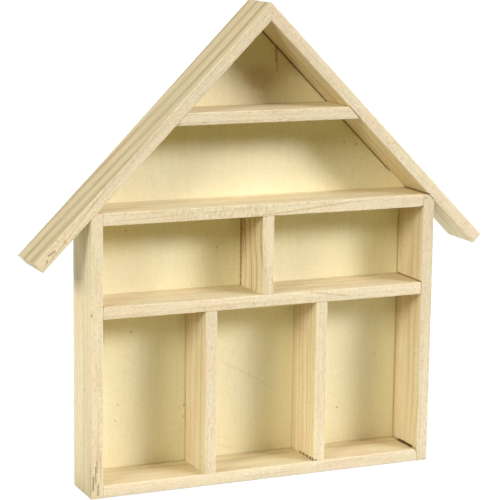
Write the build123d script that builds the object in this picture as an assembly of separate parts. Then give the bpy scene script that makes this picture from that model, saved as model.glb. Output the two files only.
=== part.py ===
from build123d import *
import os
from math import sqrt

os.makedirs("parts", exist_ok=True)

# House-shaped wall shelf: a rectangular body of butt-jointed boards under a
# 45 degree gable roof, closed at the back by one thin plywood sheet.
# Frame: +X to the right, +Y to the back (towards the wall), +Z up.
# The origin is the centre of the overall size, at the underside of the body.

# ---------------------------------------------------------------- dimensions, mm
board = 8.0               # thickness of every board
board_depth = 34.0        # front to back, every board
back_thick = 3.0          # plywood back sheet
body_width = 240.0        # over the two side panels
body_height = 182.0       # to the top of the top shelf and of the side panels
mid_shelf_z = 115.0       # underside of the middle shelf
attic_shelf_z = 234.0     # underside of the attic shelf
lower_divider_x = 39.0    # centre of each lower divider from the middle
bevel = 4.0               # width of the 45 degree bevel on top of a side panel
roof_length = 213.0       # along the underside of a roof board, ridge to eave
back_side_inset = 1.4     # the plywood is cut this much narrower than the body, each side
back_peak_inset = 0.4     # it stays this far inside the roof's outer faces at the ridge
back_eave_inset = 1.5     # and this far inside them above the side panels

hang_hole_r = 3.0         # hanging hole in the back sheet, under the ridge
hang_hole_below = 10.0    # its centre below the inner corner of the ridge

pin_r = 0.6               # headless steel pin, 1.2 mm
pin_length = 20.0
pin_sink = 1.5            # pins are set below the face and the holes are filled
pin_spread = 10.0         # front and rear pin from the middle of the board depth
roof_pin_spread = 6.0
ridge_pin_spread = 8.0
ridge_pin_inset = 5.0     # along the slope, from the ridge to the pin
back_pin_r = 0.5          # small pins that hold the back sheet
back_pin_length = 12.0

# ---------------------------------------------------------------- derived sizes
y_front = -(board_depth + back_thick) / 2
y_back = y_front + board_depth            # back edges of the boards
y_wall = y_back + back_thick              # rear face of the back sheet
y_mid = (y_front + y_back) / 2            # middle of the board depth
half = body_width / 2
inner = half - board                      # inside faces of the side panels
ridge_in = body_height + half - bevel     # inner corner of the ridge
ridge_out = ridge_in + board * sqrt(2)    # top of the ridge
c45 = 1 / sqrt(2)
hang_hole_z = ridge_in - hang_hole_below


# ---------------------------------------------------------------- helpers
def slab(profile, y0, y1):
    """A board with its profile in the X-Z plane, running from y0 back to y1."""
    outline = Polyline(*[(x, y0, z) for x, z in profile], close=True)
    return extrude(make_face(outline), amount=y1 - y0, dir=(0, 1, 0))


def block(x0, x1, z0, z1):
    """A square-ended board of full depth."""
    return slab([(x0, z0), (x1, z0), (x1, z1), (x0, z1)], y_front, y_back)


def pin(start, direction, radius=pin_r, length=pin_length):
    """One headless pin with its outer end at start."""
    return extrude(
        Plane(origin=start, z_dir=direction) * Circle(radius), amount=length
    )


def mirrored(shape):
    return mirror(shape, about=Plane.YZ)


# ---------------------------------------------------------------- body boards
# side panels run the full height; the outer top corner is bevelled for the roof
side_panel_right = slab(
    [
        (inner, 0),
        (half, 0),
        (half, body_height - bevel),
        (half - bevel, body_height),
        (inner, body_height),
    ],
    y_front,
    y_back,
)
side_panel_left = mirrored(side_panel_right)

# three boards lie between the side panels
bottom_board = block(-inner, inner, 0, board)
middle_shelf = block(-inner, inner, mid_shelf_z, mid_shelf_z + board)
top_shelf = block(-inner, inner, body_height - board, body_height)

# dividers stand between the shelves
upper_divider = block(
    -board / 2, board / 2, mid_shelf_z + board, body_height - board
)
lower_divider_right = block(
    lower_divider_x - board / 2, lower_divider_x + board / 2, board, mid_shelf_z
)
lower_divider_left = mirrored(lower_divider_right)

# ---------------------------------------------------------------- roof and attic
# each roof board is mitred at the ridge and cut square at the eave
eave_in = (roof_length * c45, ridge_in - roof_length * c45)
eave_out = (eave_in[0] + board * c45, eave_in[1] + board * c45)
roof_board_right = slab(
    [(0, ridge_in), eave_in, eave_out, (0, ridge_out)], y_front, y_back
)
roof_board_left = mirrored(roof_board_right)

# attic shelf: both ends bevelled to the underside of the roof boards
attic_low = ridge_in - attic_shelf_z
attic_high = attic_low - board
attic_shelf = slab(
    [
        (-attic_low, attic_shelf_z),
        (attic_low, attic_shelf_z),
        (attic_high, attic_shelf_z + board),
        (-attic_high, attic_shelf_z + board),
    ],
    y_front,
    y_back,
)

# ---------------------------------------------------------------- back sheet
# one piece, cut a little smaller all round than the body and the roof
peak = ridge_out - back_peak_inset * sqrt(2)
back_half = half - back_side_inset
back_shoulder = ridge_out - back_half - back_eave_inset * sqrt(2)
back_panel = slab(
    [
        (-back_half, 0),
        (back_half, 0),
        (back_half, back_shoulder),
        (0, peak),
        (-back_half, back_shoulder),
    ],
    y_back,
    y_wall,
)
back_panel -= Plane(
    origin=(0, y_back, hang_hole_z), z_dir=(0, 1, 0)
) * extrude(Circle(hang_hole_r), amount=back_thick)

# ---------------------------------------------------------------- pins
pin_ys = (y_mid - pin_spread, y_mid + pin_spread)
roof_pin_ys = (y_mid - roof_pin_spread, y_mid + roof_pin_spread)
ridge_pin_ys = (y_mid - ridge_pin_spread, y_mid + ridge_pin_spread)

# through the side panels into the ends of the bottom board and both shelves
side_panel_pins = []
for z in (board / 2, mid_shelf_z + board / 2, body_height - board / 2):
    for y in pin_ys:
        for side in (-1, 1):
            side_panel_pins.append(
                pin((side * (half - pin_sink), y, z), (-side, 0, 0))
            )

# through the shelves and the bottom board into the ends of the dividers
divider_pins = []
for y in pin_ys:
    divider_pins.append(pin((0, y, body_height - pin_sink), (0, 0, -1)))
    divider_pins.append(pin((0, y, mid_shelf_z + pin_sink), (0, 0, 1)))
    for x in (-lower_divider_x, lower_divider_x):
        divider_pins.append(
            pin((x, y, mid_shelf_z + board - pin_sink), (0, 0, -1))
        )
        divider_pins.append(pin((x, y, pin_sink), (0, 0, 1)))

# through the roof boards: upright into the side panels, level into the attic shelf
roof_pins = []
panel_pin_x = half - 3.0
attic_pin_z = attic_shelf_z + board / 2
for y in roof_pin_ys:
    for side in (-1, 1):
        roof_pins.append(
            pin(
                (side * panel_pin_x, y, ridge_out - panel_pin_x - pin_sink * sqrt(2)),
                (0, 0, -1),
            )
        )
        roof_pins.append(
            pin(
                (side * (ridge_out - attic_pin_z - pin_sink * sqrt(2)), y, attic_pin_z),
                (-side, 0, 0),
            )
        )

# across the mitre: through the left roof board into the end of the right one
ridge_pins = []
for y in ridge_pin_ys:
    ridge_pins.append(
        pin(
            (
                -ridge_pin_inset * c45 + pin_sink * c45,
                y,
                ridge_out - ridge_pin_inset * c45 - pin_sink * c45,
            ),
            (c45, 0, -c45),
        )
    )

# through the back sheet into the back edges of the boards, heads flush
spots = []
for side in (-1, 1):
    spots += [
        (side * 25, board / 2),
        (side * 85, board / 2),
        (side * (half - board / 2), 60),
        (side * (half - board / 2), 148),
        (side * 70, mid_shelf_z + board / 2),
        (side * 60, body_height - board / 2),
        (side * 28, attic_shelf_z + board / 2),
        (side * lower_divider_x, 60),
    ]
    for along in (34.0, 112.0):
        spots.append(
            (side * (along + board / 2) * c45, ridge_in - (along - board / 2) * c45)
        )
spots.append((0, 148))
back_panel_pins = [
    pin((x, y_wall, z), (0, -1, 0), back_pin_r, back_pin_length) for x, z in spots
]

# ---------------------------------------------------------------- pin holes
boards = {
    "side_panel_left": side_panel_left,
    "side_panel_right": side_panel_right,
    "bottom_board": bottom_board,
    "middle_shelf": middle_shelf,
    "top_shelf": top_shelf,
    "upper_divider": upper_divider,
    "lower_divider_left": lower_divider_left,
    "lower_divider_right": lower_divider_right,
    "roof_board_left": roof_board_left,
    "roof_board_right": roof_board_right,
    "attic_shelf": attic_shelf,
    "back_panel": back_panel,
}
pin_groups = {
    "side_panel_pins": side_panel_pins,
    "divider_pins": divider_pins,
    "roof_pins": roof_pins,
    "ridge_pins": ridge_pins,
    "back_panel_pins": back_panel_pins,
}


def boxes_meet(a, b):
    """True where the bounding boxes of two shapes overlap by more than a touch."""
    p, q = a.bounding_box(), b.bounding_box()
    return (
        min(p.max.X, q.max.X) - max(p.min.X, q.min.X) > 0.01
        and min(p.max.Y, q.max.Y) - max(p.min.Y, q.min.Y) > 0.01
        and min(p.max.Z, q.max.Z) - max(p.min.Z, q.min.Z) > 0.01
    )


# every pin sits in its own hole, so no two solids share any space
for name in boards:
    for group in pin_groups.values():
        for one in group:
            if boxes_meet(boards[name], one):
                boards[name] = boards[name] - one

# ---------------------------------------------------------------- files
for name, shape in boards.items():
    solid = shape.solids()[0]
    solid.label = name
    export_step(solid, "parts/" + name + ".step")

for name, group in pin_groups.items():
    together = Compound(children=[one.solids()[0] for one in group])
    together.label = name
    export_step(together, "parts/" + name + ".step")
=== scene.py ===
import math
import random

import bmesh
import bpy
from mathutils import Matrix, Vector, noise


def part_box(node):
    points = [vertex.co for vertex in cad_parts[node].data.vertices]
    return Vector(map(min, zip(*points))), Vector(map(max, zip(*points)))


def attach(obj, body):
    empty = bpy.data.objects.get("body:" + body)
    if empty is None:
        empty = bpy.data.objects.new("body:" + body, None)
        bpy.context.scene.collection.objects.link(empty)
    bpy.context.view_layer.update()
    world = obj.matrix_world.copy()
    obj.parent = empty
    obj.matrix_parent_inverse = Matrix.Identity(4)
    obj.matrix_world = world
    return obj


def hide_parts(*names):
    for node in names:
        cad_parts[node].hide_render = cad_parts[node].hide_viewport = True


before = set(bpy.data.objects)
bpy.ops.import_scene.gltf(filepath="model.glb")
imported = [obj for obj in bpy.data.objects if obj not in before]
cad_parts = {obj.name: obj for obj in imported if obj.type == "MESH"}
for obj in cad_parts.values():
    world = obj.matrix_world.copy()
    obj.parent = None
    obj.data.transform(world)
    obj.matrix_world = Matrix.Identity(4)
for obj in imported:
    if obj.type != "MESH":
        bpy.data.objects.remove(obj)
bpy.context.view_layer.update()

MM = 0.001
C45 = math.sqrt(0.5)


def mm(node):
    """Lowest and highest corner of a node, in millimetres."""
    lo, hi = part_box(node)
    return [v * 1000 for v in lo], [v * 1000 for v in hi]


# ------------------------------------------------------------------ sizes read from the frame
(_, y_front, _), (_, y_back, body_h) = mm("side_panel_left")
half = mm("side_panel_right")[1][0]
board = mm("bottom_board")[1][2]
inner = half - board
mid_z = mm("middle_shelf")[0][2]
attic_z = mm("attic_shelf")[0][2]
attic_half = mm("attic_shelf")[1][0]
div_x = (mm("lower_divider_right")[0][0] + mm("lower_divider_right")[1][0]) / 2
ridge_in = attic_z + attic_half
ridge_out = mm("roof_board_right")[1][2]
bevel = half - (ridge_in - body_h)
y_wall = mm("back_panel")[1][1]
eave_out_x = mm("roof_board_right")[1][0]
eave_low_z = mm("roof_board_right")[0][2]


# ------------------------------------------------------------------ node helpers
class Tree:
    """Short calls for building a node tree."""

    def __init__(self, tree):
        self.t = tree

    def add(self, kind, **values):
        n = self.t.nodes.new(kind)
        for k, v in values.items():
            setattr(n, k, v)
        return n

    def link(self, a, b):
        self.t.links.new(a, b)

    def put(self, socket, value):
        if isinstance(value, bpy.types.NodeSocket):
            self.link(value, socket)
        elif value is not None:
            socket.default_value = value

    def math(self, op, a, b=None, c=None, clamp=False):
        n = self.add("ShaderNodeMath", operation=op, use_clamp=clamp)
        for i, v in enumerate((a, b, c)):
            if v is not None:
                self.put(n.inputs[i], v)
        return n.outputs[0]

    def mul(self, a, b, clamp=False):
        return self.math("MULTIPLY", a, b, clamp=clamp)

    def vmath(self, op, a, b=None, scale=None):
        n = self.add("ShaderNodeVectorMath", operation=op)
        self.put(n.inputs[0], a)
        if b is not None:
            self.put(n.inputs[1], b)
        if scale is not None:
            self.put(n.inputs["Scale"], scale)
        return n.outputs["Value"] if op in ("LENGTH", "DOT_PRODUCT", "DISTANCE") else n.outputs[0]

    def noise(self, vec, scale=1.0, detail=2.0, rough=0.5, dist=0.0):
        n = self.add("ShaderNodeTexNoise", noise_dimensions="3D")
        self.put(n.inputs["Vector"], vec)
        n.inputs["Scale"].default_value = scale
        n.inputs["Detail"].default_value = detail
        n.inputs["Roughness"].default_value = rough
        n.inputs["Distortion"].default_value = dist
        return n.outputs["Fac"]

    def stretch(self, vec, sx, sy, sz, off=(0, 0, 0)):
        """The vector with each axis divided by a length in millimetres."""
        n = self.add("ShaderNodeMapping", vector_type="POINT")
        self.put(n.inputs["Vector"], vec)
        n.inputs["Scale"].default_value = (1 / sx, 1 / sy, 1 / sz)
        n.inputs["Location"].default_value = off
        return n.outputs[0]

    def ramp(self, fac, stops, interp="LINEAR"):
        n = self.add("ShaderNodeValToRGB")
        r = n.color_ramp
        r.interpolation = interp
        while len(r.elements) > 1:
            r.elements.remove(r.elements[-1])
        for i, (pos, col) in enumerate(stops):
            e = r.elements[0] if i == 0 else r.elements.new(pos)
            e.position = pos
            if isinstance(col, (int, float)):
                col = (col, col, col)
            e.color = (*col[:3], 1.0)
        self.put(n.inputs["Fac"], fac)
        return n.outputs["Color"]

    def span(self, v, lo, hi, to_lo=0.0, to_hi=1.0, smooth=True):
        n = self.add("ShaderNodeMapRange")
        n.interpolation_type = "SMOOTHSTEP" if smooth else "LINEAR"
        if lo > hi:
            lo, hi, to_lo, to_hi = hi, lo, to_hi, to_lo
        self.put(n.inputs["Value"], v)
        n.inputs["From Min"].default_value = lo
        n.inputs["From Max"].default_value = hi
        n.inputs["To Min"].default_value = to_lo
        n.inputs["To Max"].default_value = to_hi
        return n.outputs["Result"]

    def mix(self, fac, a, b, mode="MIX"):
        n = self.add("ShaderNodeMix", data_type="RGBA", blend_type=mode)
        for socket, value in ((n.inputs[0], fac), (n.inputs[6], a), (n.inputs[7], b)):
            if isinstance(value, tuple):
                value = (*value[:3], 1.0)
            self.put(socket, value)
        return n.outputs[2]

    def shade(self, col, fac, tint):
        """The colour multiplied by a tint, as far as fac says."""
        return self.mix(fac, col, tint, "MULTIPLY")

    def near_line(self, p, a, b, width, wobble=None):
        """1 on the line from a to b, 0 at a distance of width."""
        a, b = Vector(a), Vector(b)
        ab = b - a
        ap = self.vmath("SUBTRACT", p, tuple(a))
        h = self.mul(self.vmath("DOT_PRODUCT", ap, tuple(ab)), 1 / ab.length_squared, clamp=True)
        foot = self.vmath("SCALE", tuple(ab), scale=h)
        d = self.vmath("LENGTH", self.vmath("SUBTRACT", ap, foot))
        if wobble is not None:
            d = self.math("ADD", d, wobble)
        return self.span(d, width, width * 0.25)

    def near_spot(self, p, centre, radii, wobble=None):
        """1 inside an ellipsoid of those radii, 0 outside."""
        d = self.vmath("SUBTRACT", p, tuple(centre))
        d = self.vmath("MULTIPLY", d, tuple(1 / r for r in radii))
        d = self.vmath("LENGTH", d)
        if wobble is not None:
            d = self.math("ADD", d, wobble)
        return self.span(d, 1.0, 0.35)


def srgb(r, g, b):
    f = lambda v: v / 12.92 if v <= 0.04045 else ((v + 0.055) / 1.055) ** 2.4
    return (f(r / 255), f(g / 255), f(b / 255))


def new_material(name):
    m = bpy.data.materials.new(name)
    m.use_nodes = True
    m.node_tree.nodes.clear()
    t = Tree(m.node_tree)
    out = t.add("ShaderNodeOutputMaterial")
    bsdf = t.add("ShaderNodeBsdfPrincipled")
    t.link(bsdf.outputs[0], out.inputs["Surface"])
    return m, t, bsdf


WOOD = (0.846, 0.732, 0.462)   # the pale board wood, before its grain
PLY = (0.925, 0.850, 0.520)    # the plywood's face veneer
SEAM_LINE_AND_SHADE = (0.50, 0.40, 0.28)    # a dark joint line and painted shade in the corner where a board meets the back sheet
BROWN = (0.66, 0.57, 0.44)   # a dark grain line


# ------------------------------------------------------------------ pale board wood
def wood(name, turn, seed, pith, ring=5.5, phase=0.0, jitter=1.1, tint=(1, 1, 1), broad=0.0, bands=0.5, brown=0.3, wave=3.0,
         drift=None, streaks=0.5, pores=0.5, speck=0.5, ripple=None, lines=(), spots=(), seam_line_and_shade=0.22):
    """Unpainted pale wood as a solid texture: rings round a pith that runs along the board, so that the faces,
    edges and ends of one board belong together. turn is the angle about Y that lays the grain on local X.
    drift = (axis, from, to, sideways) lets the rings cross the board at a slight slant, in row millimetres."""
    m, t, bsdf = new_material(name)
    rnd = random.Random(seed)
    co = t.add("ShaderNodeTexCoord")
    row = t.stretch(co.outputs["Object"], MM, MM, MM)  # the row frame in millimetres
    at = t.add("ShaderNodeSeparateXYZ")
    t.link(row, at.inputs[0])
    lay = t.add("ShaderNodeMapping", vector_type="POINT")
    t.link(row, lay.inputs["Vector"])
    lay.inputs["Rotation"].default_value = (0, math.radians(turn), 0)
    lay.inputs["Location"].default_value = (rnd.uniform(-4000, 4000), 0.0, 0.0)
    p = lay.outputs[0]  # x along the grain, y and z across it, millimetres
    k = seed * 1.37

    # the grain wanders slowly on its way along the board
    w1 = t.noise(t.stretch(p, 110, 50, 50, (3.1, 7.7, k)), detail=2.0, rough=0.5)
    w2 = t.noise(t.stretch(p, 150, 60, 60, (11.3, 2.9, k)), detail=2.0, rough=0.45)
    sep = t.add("ShaderNodeSeparateXYZ")
    t.link(p, sep.inputs[0])
    y = t.math("ADD", t.math("SUBTRACT", sep.outputs["Y"], pith[0]), t.mul(t.math("SUBTRACT", w1, 0.5), wave * 4))
    z = t.math("ADD", t.math("SUBTRACT", sep.outputs["Z"], pith[1]), t.mul(t.math("SUBTRACT", w2, 0.5), wave * 4))
    if drift:
        axis, start, stop, sideways = drift
        y = t.math("SUBTRACT", y, t.mul(t.span(at.outputs[axis], start, stop), sideways))
    r = t.math("SQRT", t.math("ADD", t.mul(y, y), t.mul(z, z)))
    shift = t.noise(t.stretch(p, 420, 11, 11, (0, 5.5, k)), detail=1.0)
    fine = t.noise(t.stretch(p, 26, 1.6, 1.6, (0, 1.5, k)), detail=2.0)
    rings = t.math("ADD", t.math("ADD", t.math("DIVIDE", r, ring), t.mul(t.math("SUBTRACT", shift, 0.5), jitter)),
                   t.math("ADD", t.mul(t.math("SUBTRACT", fine, 0.5), 0.14), phase))
    saw = t.math("FRACT", rings)

    # from the porous early wood, through smooth wood, to the darker end of the ring
    late = t.ramp(saw, [(0.0, 0.55), (0.06, 0.22), (0.22, 0.05), (0.55, 0.10), (0.80, 0.48), (0.93, 1.0), (1.0, 0.70)], "LINEAR")
    porous = t.ramp(saw, [(0.0, 1.0), (0.14, 0.9), (0.34, 0.15), (0.80, 0.05), (0.96, 0.35), (1.0, 1.0)], "LINEAR")
    streak = t.noise(t.stretch(p, 210, 4.2, 4.2, (1.7, 0, k)), detail=3.0, rough=0.6)
    thread = t.noise(t.stretch(p, 46, 1.15, 1.15, (0, 3.3, k)), detail=2.0, rough=0.6)
    fibre = t.noise(t.stretch(p, 9, 0.42, 0.42, (2, 3.3, k)), detail=2.0, rough=0.6)
    pore = t.noise(t.stretch(p, 3.6, 0.62, 0.62, (9.1, 0, k)), detail=1.0, rough=0.6)
    blotch = t.noise(t.stretch(p, 38, 15, 15, (4.4, 1.2, k)), detail=2.0, rough=0.5)
    hue = t.noise(t.stretch(p, 150, 4.5, 4.5, (8.4, 3.2, k)), detail=2.0, rough=0.5)
    speckle = t.noise(t.stretch(p, 1.9, 0.95, 0.95, (6.1, 4.2, k)), detail=1.0)
    fleck = t.noise(t.stretch(p, 1.3, 1.1, 1.1, (2.1, 9.2, k)), detail=2.0, rough=0.65)

    # which way the surface looks: the front edge, the end grain and the eased arrises
    nrm = t.add("ShaderNodeMapping", vector_type="NORMAL")
    t.link(co.outputs["Normal"], nrm.inputs["Vector"])
    nrm.inputs["Rotation"].default_value = (0, math.radians(turn), 0)
    ns = t.add("ShaderNodeSeparateXYZ")
    t.link(nrm.outputs[0], ns.inputs[0])
    end = t.span(t.math("ABSOLUTE", ns.outputs["X"]), 0.55, 0.9)
    front = t.span(ns.outputs["Y"], -0.7, -0.95)
    arris = t.span(t.math("MINIMUM", t.math("ABSOLUTE", ns.outputs["Y"]), t.math("ABSOLUTE", ns.outputs["Z"])), 0.10, 0.45)

    calm = t.math("SUBTRACT", 1.0, t.mul(front, 0.75))  # the front edges show little of the rings

    base = tuple(c * s for c, s in zip(WOOD, tint))
    col = t.mix(t.span(blotch, 0.36, 0.66), base, tuple(a * b for a, b in zip(base, (1.00, 0.95, 0.93))))
    col = t.shade(col, t.span(hue, 0.50, 0.68, 0.0, 0.8), (0.985, 1.01, 0.94))
    col = t.shade(col, t.span(hue, 0.50, 0.34, 0.0, 0.7), (1.0, 0.985, 0.985))
    if broad:
        wide = t.ramp(saw, [(0.0, 0.85), (0.14, 0.42), (0.38, 0.0), (0.62, 0.10), (0.82, 0.72), (0.93, 1.0), (1.0, 0.85)], "EASE")
        col = t.shade(col, t.mul(t.mul(wide, t.span(streak, 0.2, 0.65, 0.65, 1.0)), t.mul(calm, broad), clamp=True), (0.72, 0.71, 0.66))
    col = t.shade(col, t.mul(t.mul(late, t.span(streak, 0.25, 0.70, 0.55, 1.0)), t.mul(calm, bands), clamp=True), (0.80, 0.80, 0.69))
    col = t.shade(col, t.span(streak, 0.46, 0.74, 0.0, 0.9 * streaks), (0.80, 0.80, 0.71))
    col = t.shade(col, t.span(streak, 0.44, 0.22, 0.0, 0.5 * streaks), (1.06, 1.05, 1.06))
    col = t.shade(col, t.span(thread, 0.48, 0.76, 0.0, 0.85 * streaks), (0.80, 0.77, 0.67))
    col = t.shade(col, t.span(thread, 0.46, 0.24, 0.0, 0.7 * streaks), (1.06, 1.05, 1.06))
    col = t.shade(col, t.span(fibre, 0.30, 0.72, 0.0, 0.45), (0.89, 0.86, 0.81))
    edge = t.ramp(saw, [(0.0, 0.7), (0.05, 0.0), (0.84, 0.0), (0.93, 1.0), (1.0, 0.8)], "LINEAR")
    col = t.shade(col, t.mul(t.mul(edge, t.span(thread, 0.26, 0.56, 0.25, 1.0)), t.mul(calm, brown), clamp=True), BROWN)
    hole = t.mul(t.span(pore, 0.54, 0.70), t.math("ADD", t.mul(porous, 0.8), 0.2))
    col = t.shade(col, t.mul(hole, pores, clamp=True), (0.64, 0.56, 0.45))
    col = t.shade(col, t.span(speckle, 0.42, 0.70, 0.0, 0.35), (0.90, 0.87, 0.84))
    # the sawn front edge is rougher, with short flecks
    col = t.shade(col, t.mul(t.mul(t.span(fleck, 0.48, 0.70), front), speck, clamp=True), (0.80, 0.75, 0.69))
    col = t.shade(col, t.mul(t.mul(t.span(fleck, 0.48, 0.28), front), speck, clamp=True), (1.08, 1.08, 1.10))
    if ripple:
        # curl on the front edge: short stripes across the grain, between two places along it
        x0, x1, soft, strength = ripple
        gate = t.mul(t.mul(t.span(at.outputs["X"], x0 - soft, x0 + soft), t.span(at.outputs["X"], x1 + soft, x1 - soft)), front)
        slant = t.add("ShaderNodeMapping", vector_type="POINT")
        t.link(row, slant.inputs["Vector"])
        slant.inputs["Rotation"].default_value = (0, math.radians(-14), 0)
        curl = t.noise(t.stretch(slant.outputs[0], 1.25, 9.0, 6.0, (4, 1, 7)), detail=1.0)
        col = t.shade(col, t.mul(t.mul(t.span(curl, 0.46, 0.60), gate), strength), (0.82, 0.79, 0.73))
        col = t.shade(col, t.mul(t.mul(t.span(curl, 0.46, 0.32), gate), strength), (1.08, 1.09, 1.11))
    # end grain is darker and greyer; the arrises are lighter, partly as sanded clean wood and partly as a painted edge
    # highlight
    col = t.shade(col, t.mul(end, 0.8), (0.86, 0.83, 0.76))
    col = t.shade(col, t.mul(arris, 0.9), (1.10, 1.10, 1.12))
    # painted shade in the corner where the board meets the back sheet, with a dark joint line
    shake = t.mul(t.math("SUBTRACT", thread, 0.5), 1.0)
    far = t.math("ADD", t.math("SUBTRACT", y_back, at.outputs["Y"]), t.mul(t.math("SUBTRACT", pore, 0.5), 1.2))
    col = t.shade(col, t.mul(t.span(far, 0.95, 0.25), seam_line_and_shade), SEAM_LINE_AND_SHADE)
    for a, b, width, depth, shade in lines:
        col = t.shade(col, t.mul(t.near_line(row, a, b, width, t.mul(shake, width)), depth), shade)
    for c, radii, depth, shade in spots:
        col = t.shade(col, t.mul(t.near_spot(row, c, radii, shake), depth), shade)
    t.link(col, bsdf.inputs["Base Color"])
    t.link(t.math("ADD", t.math("ADD", t.mul(fibre, 0.14), t.mul(late, -0.05)), 0.60), bsdf.inputs["Roughness"])
    bsdf.inputs["Specular IOR Level"].default_value = 0.25
    h = t.math("ADD", t.math("ADD", t.mul(fibre, 0.4), t.mul(thread, 0.35)), t.math("ADD", t.mul(hole, -0.8), t.mul(late, 0.2)))
    bump = t.add("ShaderNodeBump")
    bump.inputs["Strength"].default_value = 0.5
    bump.inputs["Distance"].default_value = 0.00014
    t.link(h, bump.inputs["Height"])
    t.link(bump.outputs[0], bsdf.inputs["Normal"])
    return m


# ------------------------------------------------------------------ plywood
def plywood(name, lines=(), spots=(), stains=()):
    m, t, bsdf = new_material(name)
    co = t.add("ShaderNodeTexCoord")
    p = t.stretch(co.outputs["Object"], MM, MM, MM)
    # rotary-cut face veneer: faint contour lines of a slow field
    field = t.noise(t.stretch(p, 70, 300, 190, (0.35, 0, 0.9)), detail=2.0, rough=0.4, dist=0.3)
    fig = t.ramp(t.math("FRACT", t.mul(field, 13.0)), [(0.0, 0.0), (0.6, 0.1), (0.9, 1.0), (1.0, 0.0)])
    haze = t.noise(t.stretch(p, 34, 100, 70, (2, 0, 5)), detail=3.0, rough=0.55)
    vert = t.noise(t.stretch(p, 1.7, 3, 34, (5, 0, 2)), detail=3.0, rough=0.6)
    peel = t.noise(t.stretch(p, 2.1, 3, 2.5, (8, 0, 1)), detail=2.0, rough=0.6)
    grit = t.noise(t.stretch(p, 0.7, 1, 1.1, (1, 4, 3)), detail=1.0)
    base = PLY
    col = t.mix(t.span(haze, 0.34, 0.66), base, tuple(a * b for a, b in zip(base, (1.0, 0.975, 0.93))))
    col = t.shade(col, t.mul(fig, 0.14), (0.88, 0.84, 0.74))
    col = t.shade(col, t.span(vert, 0.42, 0.74, 0.0, 0.20), (0.88, 0.86, 0.79))
    col = t.shade(col, t.span(peel, 0.44, 0.72, 0.0, 0.36), (0.90, 0.88, 0.83))
    col = t.shade(col, t.span(peel, 0.44, 0.24, 0.0, 0.30), (1.04, 1.04, 1.06))
    col = t.shade(col, t.span(grit, 0.52, 0.74, 0.0, 0.34), (0.90, 0.87, 0.80))
    shake = t.mul(t.math("SUBTRACT", vert, 0.5), 0.9)
    for a, b, width, depth, shade in lines:
        col = t.shade(col, t.mul(t.near_line(p, a, b, width, t.mul(t.math("SUBTRACT", peel, 0.5), width * 1.2)), depth), shade)
    for c, radii, depth, shade in spots:
        col = t.shade(col, t.mul(t.near_spot(p, c, radii, shake), depth), shade)
    # the cut edge shows the plies
    sep = t.add("ShaderNodeSeparateXYZ")
    t.link(p, sep.inputs[0])
    nz = t.add("ShaderNodeSeparateXYZ")
    t.link(co.outputs["Normal"], nz.inputs[0])
    side = t.span(t.math("ABSOLUTE", nz.outputs["Y"]), 0.75, 0.45)
    lay = t.math("DIVIDE", t.math("SUBTRACT", sep.outputs["Y"], y_back), y_wall - y_back)
    lay = t.math("ADD", lay, t.mul(t.math("SUBTRACT", vert, 0.5), 0.06))
    plies = t.ramp(lay, [(0.0, srgb(222, 206, 164)), (0.27, srgb(222, 206, 164)), (0.31, srgb(150, 120, 78)), (0.35, srgb(196, 170, 122)),
                         (0.65, srgb(200, 174, 126)), (0.69, srgb(150, 120, 78)), (0.73, srgb(222, 206, 164)), (1.0, srgb(222, 206, 164))])
    col = t.mix(side, col, plies)
    t.link(col, bsdf.inputs["Base Color"])
    t.link(t.math("ADD", t.mul(peel, 0.12), 0.56), bsdf.inputs["Roughness"])
    bsdf.inputs["Specular IOR Level"].default_value = 0.25
    bump = t.add("ShaderNodeBump")
    bump.inputs["Strength"].default_value = 0.35
    bump.inputs["Distance"].default_value = 0.0001
    t.link(t.math("ADD", t.mul(vert, 0.5), t.mul(peel, 0.5)), bump.inputs["Height"])
    t.link(bump.outputs[0], bsdf.inputs["Normal"])
    return m


def steel(name):
    m, t, bsdf = new_material(name)
    co = t.add("ShaderNodeTexCoord")
    p = t.stretch(co.outputs["Object"], MM, MM, MM)
    n = t.noise(p, scale=3.0, detail=3.0, rough=0.6)
    t.link(t.ramp(n, [(0.3, srgb(150, 150, 152)), (0.7, srgb(196, 196, 198))]), bsdf.inputs["Base Color"])
    bsdf.inputs["Metallic"].default_value = 1.0
    t.link(t.span(n, 0.3, 0.7, 0.28, 0.45), bsdf.inputs["Roughness"])
    bump = t.add("ShaderNodeBump")
    bump.inputs["Strength"].default_value = 0.3
    bump.inputs["Distance"].default_value = 0.00003
    t.link(n, bump.inputs["Height"])
    t.link(bump.outputs[0], bsdf.inputs["Normal"])
    return m


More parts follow.
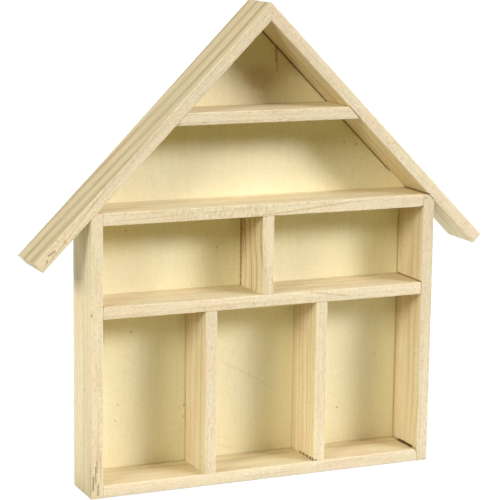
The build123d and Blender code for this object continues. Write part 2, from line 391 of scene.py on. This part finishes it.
# ------------------------------------------------------------------ board meshes
def board_mesh(name, profile, along, front=0.0, arris=0.4, back_arris=0.6, end_arris=0.22, step=2.0, seed=0, wear=0.12, shape=None):
    """A board as a bevelled, finely divided prism. profile is its outline in X-Z, in millimetres, and along is the
    direction of its length there. The long arrises are eased a little unevenly, as sandpaper leaves them.
    front sets the front edge back by that much, and shape may move single points."""
    bm = bmesh.new()
    y0, y1 = y_front + front, y_back
    near = [bm.verts.new((x, y0, z)) for x, z in profile]
    rear = [bm.verts.new((x, y1, z)) for x, z in profile]
    n = len(profile)
    bm.faces.new(near)
    bm.faces.new(list(reversed(rear)))
    for i in range(n):
        j = (i + 1) % n
        bm.faces.new((near[j], near[i], rear[i], rear[j]))
    bmesh.ops.recalc_face_normals(bm, faces=bm.faces)
    L = Vector((along[0], 0, along[1])).normalized()
    T = Vector((-L.z, 0, L.x))

    def lengthwise(e):
        d = e.verts[1].co - e.verts[0].co
        return d.length > 3 and abs(d.normalized().dot(L)) > 0.999

    for at, size in ((y0, arris), (y1, back_arris)):
        picked = [e for e in bm.edges if lengthwise(e) and abs((e.verts[0].co.y + e.verts[1].co.y) / 2 - at) < 0.01]
        bmesh.ops.bevel(bm, geom=picked, offset=size, offset_type="OFFSET", segments=3, profile=0.5, affect="EDGES")
    ends = [e for e in bm.edges if not lengthwise(e) and len(e.link_faces) == 2 and e.calc_face_angle(0) > math.radians(30)]
    bmesh.ops.bevel(bm, geom=ends, offset=end_arris, offset_type="OFFSET", segments=2, profile=0.5, affect="EDGES")
    # divide along the length, then front to back, then through the thickness
    size = max((v.co - w.co).dot(L) for v in bm.verts for w in bm.verts)
    bmesh.ops.subdivide_edges(bm, edges=[e for e in bm.edges if lengthwise(e)], cuts=max(2, int(size / step)), use_grid_fill=True)
    deep = [e for e in bm.edges if (e.verts[1].co - e.verts[0].co).length > 20 and abs((e.verts[1].co - e.verts[0].co).normalized().y) > 0.999]
    bmesh.ops.subdivide_edges(bm, edges=deep, cuts=13, use_grid_fill=True)
    thick = [e for e in bm.edges if (e.verts[1].co - e.verts[0].co).length > 5 and abs((e.verts[1].co - e.verts[0].co).normalized().dot(T)) > 0.6]
    bmesh.ops.subdivide_edges(bm, edges=thick, cuts=3, use_grid_fill=True)

    rnd = random.Random(seed)
    o = Vector((rnd.uniform(0, 90), rnd.uniform(0, 90), rnd.uniform(0, 90)))
    mid = Vector((sum(x for x, _ in profile) / n, (y0 + y1) / 2, sum(z for _, z in profile) / n))
    ts = [(v.co - mid).dot(T) for v in bm.verts]
    t_lo, t_hi = min(ts), max(ts)
    for v in bm.verts:
        d = v.co - mid
        tt, ww, ll = d.dot(T), v.co.y, d.dot(L)
        near_t = min(t_hi - tt, tt - t_lo)
        for at, size, way in ((y0, arris, 1), (y1, back_arris, -1)):
            near_w = abs(ww - at)
            if near_t < size * 1.05 and near_w < size * 1.05:
                k = 0.5 + 0.6 * noise.noise(Vector((ll / 8, math.copysign(9, tt), at / 7)) + o)
                k += 1.6 * max(0.0, noise.noise(Vector((ll / 2.4, math.copysign(9, tt), at / 7)) + o) - 0.34)
                pull = wear * k
                v.co += T * -math.copysign(pull, tt - (t_hi + t_lo) / 2) + Vector((0, way * pull, 0))
        if shape:
            shape(v, tt, ll)
    for v in bm.verts:
        v.co *= MM
    me = bpy.data.meshes.new(name)
    bm.to_mesh(me)
    bm.free()
    for poly in me.polygons:
        poly.use_smooth = True
    me.set_sharp_from_angle(angle=math.radians(35))
    ob = bpy.data.objects.new(name, me)
    bpy.context.scene.collection.objects.link(ob)
    # the flat faces stay flat up to the arrises
    even = ob.modifiers.new("normals", "WEIGHTED_NORMAL")
    even.mode = "FACE_AREA"
    even.keep_sharp = True
    return ob


def rect(x0, x1, z0, z1):
    return [(x0, z0), (x1, z0), (x1, z1), (x0, z1)]


def bump_at(value, centre, width):
    """A smooth hill of height 1."""
    q = abs(value - centre) / width
    return 0.0 if q >= 1 else (1 - q * q) ** 2


def bottom_gap(v, tt, ll):
    """The upper corner at the right end of the bottom board is short, so a gap shows at the side panel."""
    if v.co.x > inner - 0.6 and v.co.z > board - 2.6:
        deep = 0.35 + 0.75 * bump_at(v.co.y, -4, 22) + 0.25 * noise.noise(Vector((v.co.y / 3.1, 2.2, 0)))
        v.co.x -= max(0.0, deep) * min(1.0, (v.co.z - (board - 2.6)) / 2.2)


def roof_gap(v, tt, ll):
    """The rear inner arris of the right roof board stands off the back sheet towards the ridge."""
    if v.co.y > y_back - 1.3:
        inside = (ridge_in + 0.9) * C45 - (v.co.x + v.co.z) * C45
        if inside > 0:
            open_ = 1.0 - min(1.0, max(0.0, (v.co.x - 62) / 45))
            lift = 0.55 * open_ * (0.8 + 0.4 * noise.noise(Vector((v.co.x / 14, 7.1, 0))))
            v.co.y -= lift * min(1.0, inside / 0.5)


def corner_chips(v, tt, ll):
    """The front foot of the left side panel is rough."""
    if v.co.z < 26 and v.co.y < y_front + 1.5:
        k = noise.noise(Vector((v.co.x / 1.6, v.co.y / 2, v.co.z / 2.6)))
        v.co.y += max(0.0, k - 0.18) * 0.55 * (1 - v.co.z / 26) ** 0.5


roof_r = [(0, ridge_in), (eave_out_x - board * C45, eave_low_z), (eave_out_x, eave_low_z + board * C45), (0, ridge_out)]
roof_l = [(-x, z) for x, z in reversed(roof_r)]
panel_r = [(inner, 0), (half, 0), (half, body_h - bevel), (half - bevel, body_h), (inner, body_h)]
panel_l = [(-x, z) for x, z in reversed(panel_r)]
attic = [(-attic_half, attic_z), (attic_half, attic_z), (attic_half - board, attic_z + board), (board - attic_half, attic_z + board)]
F = y_front
SOFT_BROWN = (0.74, 0.64, 0.48)
SPOT = (0.34, 0.24, 0.15)
shelf_seam = (0.58, 0.48, 0.34)

# painted shade: the dark inside an open joint, and the dark of small chip-outs
GAP_SHADE = (0.32, 0.22, 0.14)
CHIP_SHADE = (0.24, 0.17, 0.10)

boards = {
    # node: profile, length direction, grain angle, mesh settings, wood settings
    "side_panel_left": (panel_l, (0, 1), 90, dict(shape=corner_chips), dict(
        seed=11, pith=(-95, 92), ring=6.4, bands=0.45, brown=0.15, streaks=0.50, pores=0.55, wave=2.5, speck=0.6,
        lines=[((-118.6, F, 14.5), (-118.9, F, 6.0), 0.9, 0.75, SPOT), ((-117.2, F, 21.0), (-117.0, F, 10.5), 0.8, 0.65, SPOT),
               ((-115.4, F, 9.0), (-115.7, F, 2.5), 0.9, 0.60, SPOT), ((-116.6, F, 25.0), (-116.3, F, 17.5), 0.7, 0.5, SPOT),
               ((-119.8, F + 2, 20.0), (-119.6, F + 1.5, 3.0), 1.0, 0.35, SPOT), ((-113.8, F, 30.0), (-113.9, F, 14.0), 0.6, 0.35, SPOT),
               ((-115.2, F, 60.0), (-115.6, F, 20.0), 1.4, 0.35, SOFT_BROWN), ((-112, F + 0.6, mid_z + board), (-112, F + 0.6, mid_z), 0.6, 0.5, shelf_seam)],
        spots=[((-120, -5.9, 68.4), (1.2, 0.9, 1.6), 0.65, SPOT), ((-119.4, F, 118.4), (0.8, 0.8, 1.6), 0.55, SPOT),
               ((-117, F - 1, 12), (6, 9, 46), 0.75, (0.86, 0.83, 0.78)), ((-112, F + 1.8, mid_z + board + 0.4), (1.2, 1.8, 1.0), 0.8, GAP_SHADE)])),
    "side_panel_right": (panel_r, (0, 1), 90, {}, dict(
        seed=23, pith=(4, -84), ring=4.6, tint=(0.920, 0.910, 0.900), bands=0.42, brown=0.20, streaks=0.55, pores=0.60, wave=4.0, speck=0.45,
        # the near-black line just above the bottom board is painted shade in the gap there
        lines=[((inner, F + 1.5, 8.4), (inner, y_back, 8.4), 0.9, 0.5, shelf_seam), ((inner, -12, board + 0.2), (inner, 7, board + 0.2), 1.3, 1.0, (0.18, 0.10, 0.06)), ((inner, F + 1, mid_z + board + 0.3), (inner, y_back, mid_z + board + 0.3), 1.1, 0.95, (0.45, 0.34, 0.22)),
               ((inner, y_back - 0.2, board), (inner, y_back - 0.2, body_h - board), 0.6, 0.40, (0.50, 0.41, 0.25)),
               ((half - bevel - 0.3, y_back, body_h), (half - bevel - 0.3, F, body_h), 1.1, 0.9, GAP_SHADE), ((half - bevel, F, body_h), (half, F, body_h - bevel), 0.6, 0.6, GAP_SHADE),
               ((inner + 0.2, F, mid_z + board), (inner + 0.2, F, mid_z), 0.5, 0.55, shelf_seam), ((inner + 0.2, F, body_h - board), (inner + 0.2, F, body_h), 0.4, 0.35, shelf_seam)],
        spots=[((inner, 7.1, 146.5), (1.5, 1.4, 1.8), 0.55, (1.12, 1.12, 1.16)), ((inner, 7.1, 143.6), (1.2, 1.6, 1.4), 0.45, SOFT_BROWN),
               ((113.6, F, 179.7), (0.8, 1.0, 1.1), 0.75, SPOT), ((115.8, 15.0, body_h), (2.0, 2.0, 1.6), 0.8, GAP_SHADE)])),
    "bottom_board": (rect(-inner, inner, 0, board), (1, 0), 0, dict(shape=bottom_gap), dict(
        seed=5, pith=(-10, -38), ring=6.2, bands=0.50, brown=0.25, streaks=0.55, pores=0.45, speck=0.4,
        # a dark stain and painted shade in the gap at the right end of the board
        lines=[((inner - 0.4, F + 1, board - 0.5), (inner - 0.4, y_back, board - 0.5), 1.5, 0.95, (0.30, 0.20, 0.12)),
               ((inner - 0.9, -12, board), (inner - 1.0, 7, board), 1.5, 1.0, (0.16, 0.09, 0.05))])),
    "middle_shelf": (rect(-inner, inner, mid_z, mid_z + board), (1, 0), 0, {}, dict(
        seed=31, pith=(2, 82), ring=6.6, bands=0.45, brown=0.24, streaks=0.60, pores=0.50, speck=0.55,
        lines=[((inner, F + 1.5, mid_z + board), (inner, y_back, mid_z + board), 1.1, 0.9, (0.45, 0.34, 0.22)),
               ((inner - 8, y_back - 3, mid_z + board), (inner, y_back - 7, mid_z + board), 0.8, 0.5, shelf_seam),
               ((inner - 0.1, F, mid_z + board), (inner - 0.1, F, mid_z), 0.5, 0.5, shelf_seam),
               ((30, F, 122.4), (58, F, 117.8), 0.9, 0.55, SOFT_BROWN), ((22, -13, mid_z + board), (66, 2, mid_z + board), 2.4, 0.35, (0.80, 0.76, 0.64))],
        spots=[((-111.4, F + 1.6, mid_z + board), (1.6, 1.8, 0.9), 0.85, GAP_SHADE)])),
    "top_shelf": (rect(-inner, inner, body_h - board, body_h), (1, 0), 0, {}, dict(
        seed=47, pith=(-34, 141), ring=6.8, bands=0.42, brown=0.20, streaks=0.50, pores=0.50, speck=0.5, ripple=(-66, 8, 10, 0.62),
        lines=[((0.6, F, 175.0), (28, F, 177.4), 0.9, 0.55, SOFT_BROWN), ((28, F, 177.4), (56, F, 179.9), 0.8, 0.60, SOFT_BROWN),
               ((-12, F, 174.6), (0.6, F, 175.0), 0.7, 0.40, SOFT_BROWN), ((56, F, 179.9), (88, F, 181.4), 0.7, 0.40, SOFT_BROWN),
               ((-104, F, 176.8), (-60, F, 178.3), 0.6, 0.40, SOFT_BROWN), ((110.4, F + 0.4, body_h - board), (inner, F + 0.4, body_h - board), 0.9, 0.85, GAP_SHADE)],
        spots=[((-74.6, F, 181.5), (9, 2, 1.6), 0.55, (0.80, 0.84, 0.66))])),
    "upper_divider": (rect(-board / 2, board / 2, mid_z + board, body_h - board), (0, 1), 90, dict(front=0.12), dict(
        seed=61, pith=(52, 30), ring=8.6, jitter=1.4, bands=0.70, brown=0.95, streaks=0.70, pores=0.50, wave=5.5, drift=("Z", 120, 176, 5.0), speck=0.35)),
    "lower_divider_left": (rect(-div_x - board / 2, -div_x + board / 2, board, mid_z), (0, 1), 90, dict(front=0.10), dict(
        seed=71, pith=(70, 66), ring=7.0, tint=(0.945, 0.945, 0.955), bands=0.50, brown=0.25, streaks=0.60, pores=0.50, speck=0.5, seam_line_and_shade=0.10,
        spots=[((-43, -13.1, 18.0), (0.9, 0.9, 1.2), 0.85, SPOT)])),
    "lower_divider_right": (rect(div_x - board / 2, div_x + board / 2, board, mid_z), (0, 1), 90, dict(front=0.15), dict(
        seed=83, pith=(96, -52), ring=5.4, bands=0.50, brown=0.40, streaks=0.70, pores=0.55, wave=2.0, speck=0.45, seam_line_and_shade=0.10,
        lines=[((35, 3.4, board + 0.6), (35, F + 1.0, board + 0.5), 1.1, 0.75, SPOT)],
        # painted shade of small chip-outs along the foot of the divider
        spots=[((35, 2.6, 8.9), (1.5, 1.6, 1.3), 0.95, CHIP_SHADE), ((35, -3.2, 9.0), (1.5, 1.3, 1.3), 0.95, CHIP_SHADE), ((35, -8.6, 9.2), (1.5, 1.6, 1.5), 0.95, CHIP_SHADE),
               ((35, -13.2, 9.2), (1.5, 1.3, 1.3), 0.95, CHIP_SHADE), ((35, -17.0, 9.4), (1.6, 1.2, 1.6), 0.95, CHIP_SHADE), ((36.5, F, 8.8), (1.2, 1.2, 1.0), 0.8, CHIP_SHADE)])),
    "roof_board_left": (roof_l, (-C45, -C45), -135, dict(arris=0.6), dict(
        seed=97, pith=(-88, -176), ring=11.95, phase=0.55, jitter=0.35, broad=0.85, bands=0.22, brown=0.10, streaks=0.60, pores=0.40, wave=0.7,
        drift=("X", -22, -168, 13.0), speck=0.5,
        lines=[((-116, F, 190.8), (-131, F, 172.5), 0.6, 0.55, SOFT_BROWN), ((-131, F, 172.5), (-146.3, F, 154.2), 0.6, 0.55, SOFT_BROWN),
               ((-103, F, 205.5), (-119, F, 187.2), 0.5, 0.45, SOFT_BROWN), ((-147.2, F, 158.0), (-143.2, F, 160.5), 0.9, 0.6, SPOT),
               ((-20, F + 1.9, ridge_out - 20), (-146, F + 1.9, ridge_out - 146), 0.9, 0.40, (0.74, 0.74, 0.60)),
               ((-4, y_back, ridge_out - 4), (-100, y_back, ridge_out - 100), 0.7, 0.45, (0.66, 0.62, 0.56))],
        spots=[((-136.7, F, 165.9), (1.6, 1.5, 2.2), 0.65, (0.95, 0.68, 0.45)), ((-148.2, F, 154.3), (1.0, 1, 1.6), 0.6, SPOT)])),
    "roof_board_right": (roof_r, (C45, -C45), -45, dict(shape=roof_gap), dict(
        seed=103, pith=(40, 168), ring=6.0, bands=0.50, brown=0.22, streaks=0.60, pores=0.50, speck=0.5,
        # painted shade of the open gap where the board stands off the back sheet, over a dark joint line
        lines=[((0.6, y_back - 0.4, ridge_in - 0.6), (62, y_back - 0.4, ridge_in - 62), 1.1, 0.9, (0.22, 0.14, 0.10)),
               ((62, y_back - 0.4, ridge_in - 62), (104, y_back - 0.4, ridge_in - 104), 0.9, 0.75, (0.30, 0.20, 0.14)),
               ((half - bevel - 0.4, y_back, body_h + 0.4), (half - bevel - 0.4, F + 1, body_h + 0.4), 1.2, 0.9, GAP_SHADE), ((half - bevel, F, body_h), (half, F, body_h - bevel), 0.6, 0.6, GAP_SHADE),
               ((56.2, y_back, 241.8), (56.2, F, 241.8), 0.8, 0.75, GAP_SHADE), ((56.6, F, 241.2), (63.6, F, 234.4), 0.7, 0.65, GAP_SHADE)])),
    "attic_shelf": (attic, (1, 0), 0, dict(front=0.08), dict(
        seed=113, pith=(-8, 205), ring=6.2, bands=0.40, brown=0.20, streaks=0.55, pores=0.50, speck=0.5,
        lines=[((36, y_back - 0.5, attic_z + board), (55, y_back - 0.5, attic_z + board), 0.9, 0.7, GAP_SHADE),
               ((56.2, F, 241.8), (63.6, F, 234.4), 0.7, 0.7, GAP_SHADE)],
        spots=[((62.6, F, 235.6), (0.9, 1, 0.9), 0.8, SPOT)])),
}
for node, (profile, along, turn, cut, look) in boards.items():
    ob = board_mesh("wood_" + node, profile, along, seed=look["seed"], **cut)
    ob.data.materials.append(wood("wood_" + node, turn, **look))
    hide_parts(node)
    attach(ob, "root")

# ------------------------------------------------------------------ back sheet and pins
B = y_back
PURPLE = (0.62, 0.50, 0.50)
ply = plywood(
    "plywood",
    lines=[((19.0, B, 277.5), (19.4, B, 270.0), 1.6, 0.80, PURPLE), ((19.4, B, 270.0), (19.7, B, 262.5), 0.9, 0.60, PURPLE),
           # painted shade of the open gap under the right roof board, over a dark joint line
           ((0.4, B, 297.4), (62, B, 235.8), 0.9, 0.85, (0.26, 0.16, 0.12)), ((62, B, 235.6), (104, B, 193.6), 0.8, 0.80, (0.30, 0.20, 0.14)),
           ((-17, B, 72.2), (3, B, 61.5), 1.3, 0.20, SOFT_BROWN), ((3, B, 61.5), (22, B, 50.0), 1.2, 0.14, SOFT_BROWN),
           ((-33, B, 20.5), (-8, B, 12.5), 0.7, 0.30, SOFT_BROWN), ((-34, B, 26.5), (-12, B, 19.5), 0.6, 0.22, SOFT_BROWN),
           ((-inner, B, 8.2), (inner, B, 8.2), 0.6, 0.45, shelf_seam), ((-inner, B, 123.2), (inner, B, 123.2), 0.6, 0.50, shelf_seam),
           ((-inner, B, 182.2), (inner, B, 182.2), 0.5, 0.40, shelf_seam), ((inner - 0.3, B, 8), (inner - 0.3, B, 174), 0.7, 0.55, (0.46, 0.38, 0.22)),
           ((-4.3, B, 123), (-4.3, B, 174), 0.9, 0.85, (0.40, 0.30, 0.18)), ((35 - 0.2, B, 8), (35 - 0.2, B, 115), 0.6, 0.4, shelf_seam), ((-43.2, B, 8), (-43.2, B, 115), 0.6, 0.4, shelf_seam)],
    # the broad brown patch high in the attic is a stain and painted shade
    spots=[((7.5, B, 259), (15, 4, 11), 0.60, (0.80, 0.69, 0.64)), ((78.7, B, 212.7), (1.0, 1, 1.0), 0.6, SPOT), ((68.5, B, 33.0), (0.9, 1, 0.9), 0.6, SPOT),
           ((96.0, B, 68.0), (0.8, 1, 0.9), 0.4, SPOT), ((-43.8, B, 45.5), (0.7, 1, 1.2), 0.6, SPOT), ((-43.8, B, 38.0), (0.7, 1, 0.9), 0.5, SPOT),
           ((-57.0, B, 97.5), (0.7, 1, 0.7), 0.4, SPOT), ((-84.7, B, 163.9), (0.9, 1, 0.9), 0.7, SPOT), ((-80.9, B, 97.7), (0.9, 1, 0.8), 0.75, SPOT),
           ((-21.4, B, 149.5), (0.6, 1, 1.7), 0.6, SPOT), ((-89.8, B, 50.1), (0.8, 1, 0.8), 0.55, SPOT), ((-91.8, B, 39.6), (0.7, 1, 0.7), 0.5, SPOT),
           ((-60.0, B, 141.5), (0.7, 1, 0.6), 0.4, SPOT), ((14.0, B, 131.0), (0.8, 1, 0.7), 0.4, SPOT), ((69.5, B, 214.5), (0.9, 1, 1.1), 0.45, SPOT)],
)
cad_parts["back_panel"].data.materials.clear()
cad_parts["back_panel"].data.materials.append(ply)
metal = steel("steel_wire")
for node in ("side_panel_pins", "divider_pins", "roof_pins", "ridge_pins", "back_panel_pins"):
    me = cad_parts[node].data
    me.materials.clear()
    me.materials.append(metal)

# ------------------------------------------------------------------ floor
# a white table: bright where the camera sees it, a soft source of bounced light for the object
floor_mat = bpy.data.materials.new("floor_pale")
floor_mat.use_nodes = True
floor_mat.node_tree.nodes.clear()
ft = Tree(floor_mat.node_tree)
fo = ft.add("ShaderNodeOutputMaterial")
fco = ft.add("ShaderNodeTexCoord")
fn = ft.noise(fco.outputs["Object"], scale=6.0, detail=3.0)


def floor_part(albedo, glow):
    d = ft.add("ShaderNodeBsdfDiffuse")
    ft.put(d.inputs["Color"], albedo)
    e = ft.add("ShaderNodeEmission")
    e.inputs["Color"].default_value = (1, 1, 1, 1)
    ft.put(e.inputs["Strength"], glow)
    s = ft.add("ShaderNodeAddShader")
    ft.link(d.outputs[0], s.inputs[0])
    ft.link(e.outputs[0], s.inputs[1])
    return s.outputs[0]


# light that comes up from the table, as the object meets it: from the right, from just in front, and from behind
fs = ft.add("ShaderNodeSeparateXYZ")
ft.link(fco.outputs["Object"], fs.inputs[0])
X, Y = fs.outputs["X"], fs.outputs["Y"]


def patch(x0, x1, y0, y1, colour):
    """A rectangle of the table, in metres, with a soft edge, as a colour."""
    e = 0.02
    m = ft.mul(ft.mul(ft.span(X, x0 - e, x0 + e), ft.span(X, x1 + e, x1 - e)), ft.mul(ft.span(Y, y0 - e, y0 + e), ft.span(Y, y1 + e, y1 - e)))
    return ft.mix(m, (0.0, 0.0, 0.0), colour)


glow = None
for args in ((-0.22, 0.22, -0.16, -0.02, (0.72, 0.70, 0.68)), (-0.30, 0.30, -0.40, -0.16, (0.62, 0.58, 0.25)),
             (0.125, 0.45, -0.25, 0.02, (0.38, 0.52, 0.90)), (-3.0, 3.0, 0.02, 3.0, (1.20, 1.34, 1.50))):
    one = patch(*args)
    glow = one if glow is None else ft.vmath("ADD", glow, one)
e = ft.add("ShaderNodeEmission")
ft.link(glow, e.inputs["Color"])
pick = ft.add("ShaderNodeMixShader")
ft.link(ft.add("ShaderNodeLightPath").outputs["Is Camera Ray"], pick.inputs[0])
ft.link(e.outputs[0], pick.inputs[1])
ft.link(floor_part(ft.span(fn, 0.3, 0.7, 0.155, 0.16), 0.94), pick.inputs[2])
ft.link(pick.outputs[0], fo.inputs["Surface"])
cuts_x = (-12, -3, -1, -0.45, -0.3, -0.2, -0.1, 0, 0.1, 0.2, 0.3, 0.45, 1, 3, 12)
cuts_y = (-12, -3, -1, -0.4, -0.28, -0.16, -0.09, -0.02, 0.02, 0.12, 0.3, 1, 3, 12)
fm = bpy.data.meshes.new("floor")
fm.from_pydata([(x, y, 0.0) for y in cuts_y for x in cuts_x], [],
               [(j * len(cuts_x) + i, j * len(cuts_x) + i + 1, (j + 1) * len(cuts_x) + i + 1, (j + 1) * len(cuts_x) + i)
                for j in range(len(cuts_y) - 1) for i in range(len(cuts_x) - 1)])
floor = bpy.data.objects.new("floor", fm)
bpy.context.scene.collection.objects.link(floor)
floor.location = (0, 0, -0.0004)
floor.data.materials.append(floor_mat)

# ------------------------------------------------------------------ light
world = bpy.context.scene.world or bpy.data.worlds.new("world")
bpy.context.scene.world = world
world.use_nodes = True
world.node_tree.nodes.clear()
w = Tree(world.node_tree)
wo = w.add("ShaderNodeOutputWorld")
seen = w.add("ShaderNodeBackground")
seen.inputs["Strength"].default_value = 1.1
seen.inputs["Color"].default_value = (1, 1, 1, 1)
fill = w.add("ShaderNodeBackground")
fill.inputs["Color"].default_value = (1, 1, 1, 1)
fill.inputs["Strength"].default_value = 0.0
wp = w.add("ShaderNodeMixShader")
w.link(w.add("ShaderNodeLightPath").outputs["Is Camera Ray"], wp.inputs[0])
w.link(fill.outputs[0], wp.inputs[1])
w.link(seen.outputs[0], wp.inputs[2])
w.link(wp.outputs[0], wo.inputs["Surface"])


def soft(name, azimuth, elevation, spread, power, colour=(1, 1, 1)):
    """A distant soft light. Azimuth 0 is straight in front of the open side, positive to the right. power 1 lights a
    white surface that faces it to full white."""
    a, e = math.radians(azimuth), math.radians(elevation)
    d = Vector((math.sin(a) * math.cos(e), -math.cos(a) * math.cos(e), math.sin(e)))
    data = bpy.data.lights.new(name, "SUN")
    data.angle = math.radians(spread)
    data.energy = math.pi * power
    data.color = colour
    ob = bpy.data.objects.new(name, data)
    bpy.context.scene.collection.objects.link(ob)
    ob.location = d * 2
    ob.rotation_euler = (-d).to_track_quat("-Z", "Y").to_euler()
    return ob


# a broad key from the right, made of four overlapping parts, and a weaker one from the left
COOL = (0.84, 0.84, 1.0)
soft("key_a", 38, 27, 17, 0.35, COOL)
soft("key_b", 46, 21, 17, 0.335, COOL)
soft("key_c", 54, 21, 17, 0.24, COOL)
soft("key_d", 46, 28, 17, 0.095, COOL)
soft("key_high", 64, 34, 17, 0.22, (0.66, 0.76, 1.0))
soft("left_fill", -59.5, 24, 21, 0.615)
soft("left_side", -88, 33, 28, 0.27, (0.96, 0.91, 0.94))
soft("left_rear", -128, 10, 30, 0.12, (1.0, 0.88, 0.5))
soft("right_rear", 165, 20, 40, 0.18)

# ------------------------------------------------------------------ camera
# the photograph's viewing angle, solved from the corners of the object
CAM_AZ, CAM_EL, CAM_ROLL = 24.078, 10.653, 0.738
CAM_POS = (-516.13, -1144.38, 384.93)
CAM_F = 1972.244 / 500 * 36
a, e, ro = (math.radians(v) for v in (CAM_AZ, CAM_EL, CAM_ROLL))
fwd = Vector((math.sin(a) * math.cos(e), math.cos(a) * math.cos(e), -math.sin(e)))
right = Vector((math.cos(a), -math.sin(a), 0))
up = right.cross(fwd)
r2 = math.cos(ro) * right + math.sin(ro) * up
u2 = -math.sin(ro) * right + math.cos(ro) * up
cam_data = bpy.data.cameras.new("camera")
cam_data.sensor_fit = "HORIZONTAL"
cam_data.sensor_width = 36
cam_data.lens = CAM_F
cam_data.clip_start = 0.01
cam_data.clip_end = 50
cam = bpy.data.objects.new("camera", cam_data)
bpy.context.scene.collection.objects.link(cam)
cam.matrix_world = Matrix.Translation(Vector(CAM_POS) * MM) @ Matrix((r2, u2, -fwd)).transposed().to_4x4()
bpy.context.scene.camera = cam
bpy.context.scene.view_settings.view_transform = "Standard"
bpy.context.scene.view_settings.look = "None"
